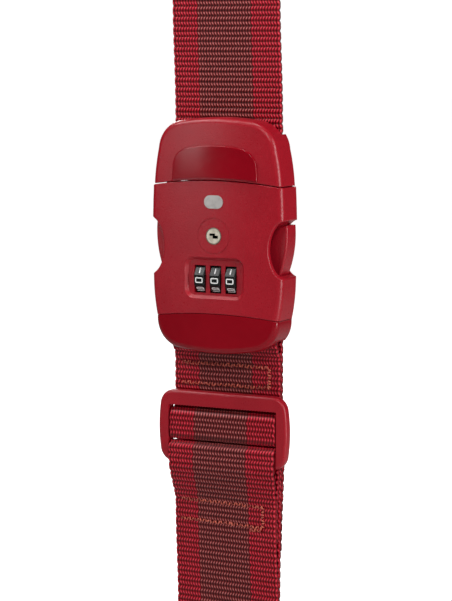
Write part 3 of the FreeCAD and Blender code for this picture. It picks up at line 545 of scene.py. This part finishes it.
# Each route is a list of (y behind the webbing's plane, z, bend radius).
upper = Strap([
    (-5.6, PIN_UP + 4.0),
    (-5.6, PIN_UP - WRAP, WRAP),
    (0, PIN_UP - WRAP, WRAP),
    (0, TOP_RUN, LOOP_BEND),
    (BLEND_START, TOP_RUN),
], UPPER_DRIFT)
top_front = Strap([(BLEND_START, TOP_RUN), (BLEND_MIDDLE, TOP_RUN)])
top_back = Strap([(BLEND_MIDDLE, TOP_RUN), (BLEND_END, TOP_RUN)])
back = Strap([(BLEND_END, TOP_RUN), (BACK_RUN, TOP_RUN, LOOP_BEND), (BACK_RUN, LOOP_RISE)])
bottom = Strap([
    (BACK_RUN, LOOP_RISE),
    (BACK_RUN, FLOOR_RUN, LOOP_BEND),
    (LOWER_LANE, FLOOR_RUN, LOOP_BEND),
    (LOWER_LANE, LOOP_RISE),
])
lower = Strap([
    (LOWER_LANE, LOOP_RISE),
    (LOWER_LANE, SLIDER_Z - 30.9, 12),
    (-5.9, SLIDER_Z - 16.1, 8),
    (-5.9, SLIDER_Z - 7.0, 1.4),
    (-0.1, SLIDER_Z - 7.0, 1.4),
    (-0.1, SLIDER_Z - 46.5),
], LOWER_DRIFT)
running = Strap([
    (0, BUCKLE_Z - 67.6),
    (0, BUCKLE_Z - 50.5, 6),
    (-3.9, BUCKLE_Z - 44.5, 5),
    (-3.9, PIN_LOW + WRAP, WRAP),
    (1.7, PIN_LOW + WRAP, WRAP),
    (1.7, BUCKLE_Z - 69, 8),
    (3.3, BUCKLE_Z - 80, 8),
    (3.3, BUCKLE_Z - 131.6),
], RUNNING_DRIFT)
tail = Strap([
    (-0.1, SLIDER_Z + 12.5),
    (-0.1, SLIDER_Z + 8.3, 1.0),
    (-5.2, SLIDER_Z + 6.3, 1.6),
    (-5.2, SLIDER_Z - 4.8, 1.6),
    (1.6, SLIDER_Z - 5.3, 1.4),
    (1.6, 4.1, LOOP_BEND - 3.4),
    (70, 4.1, 60),
    (104, 2.45, 60),
    (300, 2.45, 0.85),
    (300, 4.15, 0.85),
    (274, 4.15),
], TAIL_DRIFT)


def distance_at(strap, level):
    """The distance along a strap where it first passes a height."""
    s = np.linspace(0, strap.route.length, 4000)
    z = strap.route.at(s)[0][:, 1]
    return s[np.nonzero((z[:-1] - level) * (z[1:] - level) <= 0)[0][0]]


def sewn_box(strap, high, low, left, right, tack):
    """Two rows of stitches, one column at the right, and a short tack below its foot."""
    top = distance_at(strap, high)
    under = distance_at(strap, low)
    runs = [((top, left), (top, right)), ((under, left), (under, right)), ((top, right), (under, right))]
    if tack:
        foot = distance_at(strap, low - 1.4)
        runs.append(((foot, right - 6.5), (foot, right - 0.5)))
    return runs


SEAMS = {
    running: sewn_box(running, BUCKLE_Z - 54.5, BUCKLE_Z - 63.0, -21.5, 19.5, False),
    lower: sewn_box(lower, SLIDER_Z - 31.5, SLIDER_Z - 40.1, -21.5, 18.4, True),
}


def build_webbing():
    """Every stretch of webbing, with its body and the plain solid that it stands for."""
    plan = [
        ("webbing_upper", upper, "strap_upper_front", "insert", (), 4, 4),
        ("webbing_top_front", top_front, "strap_top_front", ("insert", "housing"), (), 2, 4),
        ("webbing_top_back", top_back, "strap_top_back", ("housing", "root"), (), 2, 4),
        ("webbing_back", back, "strap_back", "root", (), 2, 3),
        ("webbing_bottom", bottom, "strap_bottom", "root", (), 2, 3),
        ("webbing_lower", lower, "strap_lower_front", "root", ("strap_slider",), 4, 4),
        ("webbing_running", running, "running_strap", "housing", ("lower_webbing_pin",), 4, 5),
        ("webbing_tail", tail, "running_tail", "root", ("strap_slider",), 2, 3),
    ]
    phase = 0.0  # the ribs run on from one stretch of the main strap to the next
    for name, strap, node, body, rests_on, cross, rows in plan:
        if node in ("running_strap", "running_tail"):
            phase = RUNNING_PHASE
        thing = weave(name, strap, cross, rows, phase, SEAMS.get(strap, ()))
        phase += strap.route.length / ROW
        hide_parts(node)
        if isinstance(body, tuple):
            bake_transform(thing)
        else:
            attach(thing, body)


build_webbing()


# --------------------------------------------------------------------------- stitching

STITCH_STEPS = 6  # points along a stitch
STITCH_PITCH = 1.30
STITCH_RADIUS = 0.38
STITCH_LEAN = 0.80  # how far a stitch reaches to each side of its row
STITCH_SINK = 0.55  # how deep its ends go under the webbing's face


def tube(path, radii, sides=6):
    """Points and faces of a closed tube along a path of points, tapering to its ends."""
    path = np.asarray(path, float)
    ahead = np.gradient(path, axis=0)
    ahead /= np.linalg.norm(ahead, axis=1)[:, None]
    up = np.array([0.0, 1.0, 0.0])
    side = np.cross(ahead, up)
    side /= np.linalg.norm(side, axis=1)[:, None]
    over = np.cross(side, ahead)
    angles = np.arange(sides) * 2 * math.pi / sides
    ring = np.cos(angles)[None, :, None] * side[:, None, :] + np.sin(angles)[None, :, None] * over[:, None, :]
    points = (path[:, None, :] + ring * np.asarray(radii)[:, None, None]).reshape(-1, 3)
    faces = []
    for i in range(len(path) - 1):
        for j in range(sides):
            k = (j + 1) % sides
            faces.append([i * sides + j, i * sides + k, (i + 1) * sides + k, (i + 1) * sides + j])
    return points, np.array(faces)


def stitch_line(strap, ends, rng):
    """Short thick stitches that lean to and fro along a row from one (distance, x) to another."""
    (s0, x0), (s1, x1) = ends
    length = math.hypot(s1 - s0, x1 - x0)
    ahead = np.array([s1 - s0, x1 - x0]) / length
    aside = np.array([-ahead[1], ahead[0]])
    count = max(1, int(round(length / STITCH_PITCH)))
    bow = np.sin(np.linspace(0, math.pi, STITCH_STEPS))
    points, faces = [], []
    for index in range(count):
        lean = STITCH_LEAN * rng.uniform(0.6, 1.15) * (1 if index % 2 else -1)
        along = (index + np.linspace(0.24, 0.76, STITCH_STEPS) + rng.uniform(-0.12, 0.12)) * length / count
        across = np.linspace(-lean, lean, STITCH_STEPS) + rng.uniform(-0.20, 0.20)
        spots = np.array([s0, x0]) + along[:, None] * ahead + across[:, None] * aside
        lift = HALF_THICK - STITCH_SINK + rng.uniform(0.62, 0.95) * bow
        path = np.concatenate([
            strap.place([spot[0]], np.array([[spot[1]]]), np.array([[high]]))[0]
            for spot, high in zip(spots, lift)
        ])
        p, f = tube(path, STITCH_RADIUS * rng.uniform(0.75, 1.15) * (0.45 + 0.55 * bow))
        points.append(p)
        faces.append(f + index * len(p))
    return np.concatenate(points), np.concatenate(faces)


def build_stitches():
    """The stitches that close each sewn loop."""
    for name, strap, body in (
        ("stitches_upper", running, "housing"),
        ("stitches_lower", lower, "root"),
    ):
        rng = np.random.default_rng(5)
        points, faces = [], []
        base = 0
        for run in SEAMS[strap]:
            p, f = stitch_line(strap, run, rng)
            points.append(p)
            faces.append(f + base)
            base += len(p)
        thing = make_object(name, np.concatenate(points), np.concatenate(faces), THREAD)
        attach(thing, body)


build_stitches()


# --------------------------------------------------------------------------- dial figures

STROKES = {
    0: [[(-1, -1), (1, -1), (1, 1), (-1, 1), (-1, -1)]],
    1: [[(0, -1), (0, 1)]],
    2: [[(-1, 1), (1, 1), (1, 0), (-1, 0), (-1, -1), (1, -1)]],
    3: [[(-1, 1), (1, 1), (1, -1), (-1, -1)], [(-0.2, 0), (1, 0)]],
    4: [[(-1, 1), (-1, 0), (1, 0)], [(1, 1), (1, -1)]],
    5: [[(1, 1), (-1, 1), (-1, 0), (1, 0), (1, -1), (-1, -1)]],
    6: [[(1, 1), (-1, 1), (-1, -1), (1, -1), (1, 0), (-1, 0)]],
    7: [[(-1, 1), (1, 1), (0, -1)]],
    8: [[(-1, -1), (1, -1), (1, 1), (-1, 1), (-1, -1)], [(-1, 0), (1, 0)]],
    9: [[(1, 0), (-1, 0), (-1, 1), (1, 1), (1, -1), (-1, -1)]],
}
FIGURE_HALF_WIDE = 1.50
FIGURE_HALF_TALL = 0.95
STROKE_HALF = 0.26
FIGURE_RISE = 0.09
FIGURE_SINK = 0.02  # how deep a figure's foot lies in the wheel
DIAL_SIDES = 10


def facet_angle(node, axis_y, axis_z):
    """The angle, from -Y towards +Z, of the wheel facet that faces the front most squarely."""
    best = 0.0
    most = 0.0
    for face in NODES[node].data.polygons:
        normal = face.normal
        if abs(normal.x) < 0.01 and face.area > 1e-7 and -normal.y > most:
            centre = face.center / MM
            reach = math.hypot(centre.y - axis_y, centre.z - axis_z)
            if reach > 5.0:
                most = -normal.y
                best = math.atan2(normal.z, -normal.y)
    return best


def rounded_path(corners, closed, radius=0.45, steps=5):
    """A polyline whose inner corners are rounded."""
    spots = [np.array(c, float) for c in corners]
    line = [] if closed else [spots[0]]
    inner = range(len(spots) - 1) if closed else range(1, len(spots) - 1)
    for i in inner:
        before = spots[i - 1] if i else spots[-2]
        here = spots[i]
        after = spots[i + 1]
        a = (before - here) / np.linalg.norm(before - here)
        b = (after - here) / np.linalg.norm(after - here)
        cut = min(radius, 0.45 * np.linalg.norm(before - here), 0.45 * np.linalg.norm(after - here))
        for share in np.linspace(0, 1, steps):
            start = here + a * cut
            finish = here + b * cut
            line.append((1 - share) ** 2 * start + 2 * share * (1 - share) * here + share**2 * finish)
    line.append(line[0] if closed else spots[-1])
    return np.array(line)


def build_figures():
    """White raised figures round each wheel, 0 in front, the next one up above it."""
    for index in (1, 2, 3):
        node = f"dial_wheel_{index}"
        low, high = box_mm(node)
        shaft_low, shaft_high = box_mm("dial_shaft")
        axis_y = (shaft_low[1] + shaft_high[1]) / 2
        axis_z = (shaft_low[2] + shaft_high[2]) / 2
        middle = (low[0] + high[0]) / 2
        zero = facet_angle(node, axis_y, axis_z)
        reach = (high[2] - low[2]) / 2 * math.cos(math.pi / DIAL_SIDES)
        points, faces = [], []
        base = 0
        for figure, strokes in STROKES.items():
            angle = zero + figure * 2 * math.pi / DIAL_SIDES
            out = np.array([0, -math.cos(angle), math.sin(angle)])
            up = np.array([0, math.sin(angle), math.cos(angle)])
            centre = np.array([middle, axis_y, axis_z]) + out * (reach - FIGURE_SINK)
            for corners in strokes:
                scaled = [(x * FIGURE_HALF_WIDE, z * FIGURE_HALF_TALL) for x, z in corners]
                closed = corners[0] == corners[-1]
                line = rounded_path(scaled, closed)
                ahead = np.gradient(line, axis=0)
                if closed:
                    ahead[0] = ahead[-1] = line[1] - line[-2]
                ahead /= np.linalg.norm(ahead, axis=1)[:, None]
                side = np.stack([-ahead[:, 1], ahead[:, 0]], 1)
                section = [(-1.0, 0.0), (-0.8, FIGURE_RISE), (0.8, FIGURE_RISE), (1.0, 0.0)]
                if not closed:
                    line[0] -= ahead[0] * STROKE_HALF
                    line[-1] += ahead[-1] * STROKE_HALF
                grid = []
                for away, rise in section:
                    flat = line + side * away * STROKE_HALF
                    grid.append(centre + flat[:, :1] * np.array([1.0, 0, 0]) + flat[:, 1:] * up + out * rise)
                grid = np.array(grid).transpose(1, 0, 2).reshape(-1, 3)
                width = len(section)
                for i in range(len(line) - 1):
                    for j in range(width - 1):
                        a = base + i * width + j
                        faces.append([a, a + 1, a + width + 1, a + width])
                points.append(grid)
                base += len(grid)
        thing = make_object(f"dial_figures_{index}", np.concatenate(points), faces, FIGURE, smooth=False)
        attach(thing, f"dial_{index}")


build_figures()


# --------------------------------------------------------------------------- studio

def direction(azimuth, elevation):
    """A unit vector; azimuth 0 is the front and 90 the right, in degrees."""
    turn, rise = math.radians(azimuth), math.radians(elevation)
    return Vector((math.sin(turn) * math.cos(rise), -math.cos(turn) * math.cos(rise), math.sin(rise)))


AIM = Vector((-0.0008, FRONT_PLANE * MM, (BUCKLE_Z - 27.6) * MM))
CAMERA_AZIMUTH, CAMERA_ELEVATION = 27.0, 6.46
CAMERA_DISTANCE = 0.938
LENS = 135.2
FLOOR_HALF = 12000.0
FLOOR_GLOW = (0.76, 1.0)  # under the object and away from it
FLOOR_GLOW_REACH = (0.12, 0.36)
SURROUND_LIGHT = 0.045  # what the white surround gives the object
SURROUND_SEEN = 1.05


def area_light(name, azimuth, elevation, distance, size, power):
    """A soft box that looks at the middle of the view."""
    data = bpy.data.lights.new(name, "AREA")
    data.shape = "RECTANGLE"
    data.size, data.size_y = size
    data.energy = power
    lamp = bpy.data.objects.new(name, data)
    lamp.location = AIM + direction(azimuth, elevation) * distance
    lamp.rotation_euler = (AIM - lamp.location).to_track_quat("-Z", "Y").to_euler()
    bpy.context.scene.collection.objects.link(lamp)


def build_studio():
    """A wide pale floor, a white surround, and soft lights.

    The floor and the surround look white to the camera, and give the object only a little light.
    """
    tree = Tree("floor")
    cloud = grain(tree, 3.0)
    tone = tree.mix(cloud, (0.44, 0.44, 0.44), (0.48, 0.48, 0.48))
    place = tree.add("TexCoord").outputs["Object"]
    reach = tree.add("VectorMath", {0: place}, operation="LENGTH").outputs["Value"]
    seen = tree.add("LightPath").outputs["Is Camera Ray"]
    glow = tree.math("MULTIPLY", seen, tree.ramp(reach, *FLOOR_GLOW_REACH, *FLOOR_GLOW))
    tree.set(Base_Color=tone, Roughness=0.7, Emission_Color=(1, 1, 1), Emission_Strength=glow)
    h = FLOOR_HALF
    floor = make_object(
        "floor",
        [(-h, -h, 0), (h, -h, 0), (h, h, 0), (-h, h, 0)],
        [[0, 1, 2, 3]],
        tree.material,
    )

    world = bpy.data.worlds.new("studio")
    world.use_nodes = True
    nodes, links = world.node_tree.nodes, world.node_tree.links
    background = nodes["Background"]
    background.inputs["Color"].default_value = (1, 1, 1, 1)
    path = nodes.new("ShaderNodeLightPath")
    level = nodes.new("ShaderNodeMapRange")
    level.inputs["To Min"].default_value = SURROUND_LIGHT
    level.inputs["To Max"].default_value = SURROUND_SEEN
    links.new(path.outputs["Is Camera Ray"], level.inputs["Value"])
    links.new(level.outputs[0], background.inputs["Strength"])
    bpy.context.scene.world = world

    area_light("key_left", -56, 50, 0.85, (0.36, 0.36), 3.7)
    area_light("near_left", -34, 11, 0.50, (0.07, 0.10), 0.26)
    area_light("strip_front", 24, 34, 1.10, (0.06, 0.30), 2.9)
    area_light("fill_right", 78, 10, 1.10, (0.30, 0.80), 9.0)
    area_light("top", 5, 80, 1.10, (0.35, 0.16), 3.6)
    area_light("behind", -145, 30, 1.60, (0.80, 0.60), 14.0)


def build_camera():
    """A long lens to the right of the front, a little above it."""
    back = direction(CAMERA_AZIMUTH, CAMERA_ELEVATION)
    data = bpy.data.cameras.new("camera")
    data.sensor_width = 36.0
    data.lens = LENS
    data.clip_start = 0.05
    data.clip_end = 100.0
    camera = bpy.data.objects.new("camera", data)
    camera.location = AIM + back * CAMERA_DISTANCE
    camera.rotation_euler = (-back).to_track_quat("-Z", "Y").to_euler()
    bpy.context.scene.collection.objects.link(camera)
    bpy.context.scene.camera = camera


build_studio()
build_camera()
bpy.context.scene.view_settings.view_transform = "Standard"
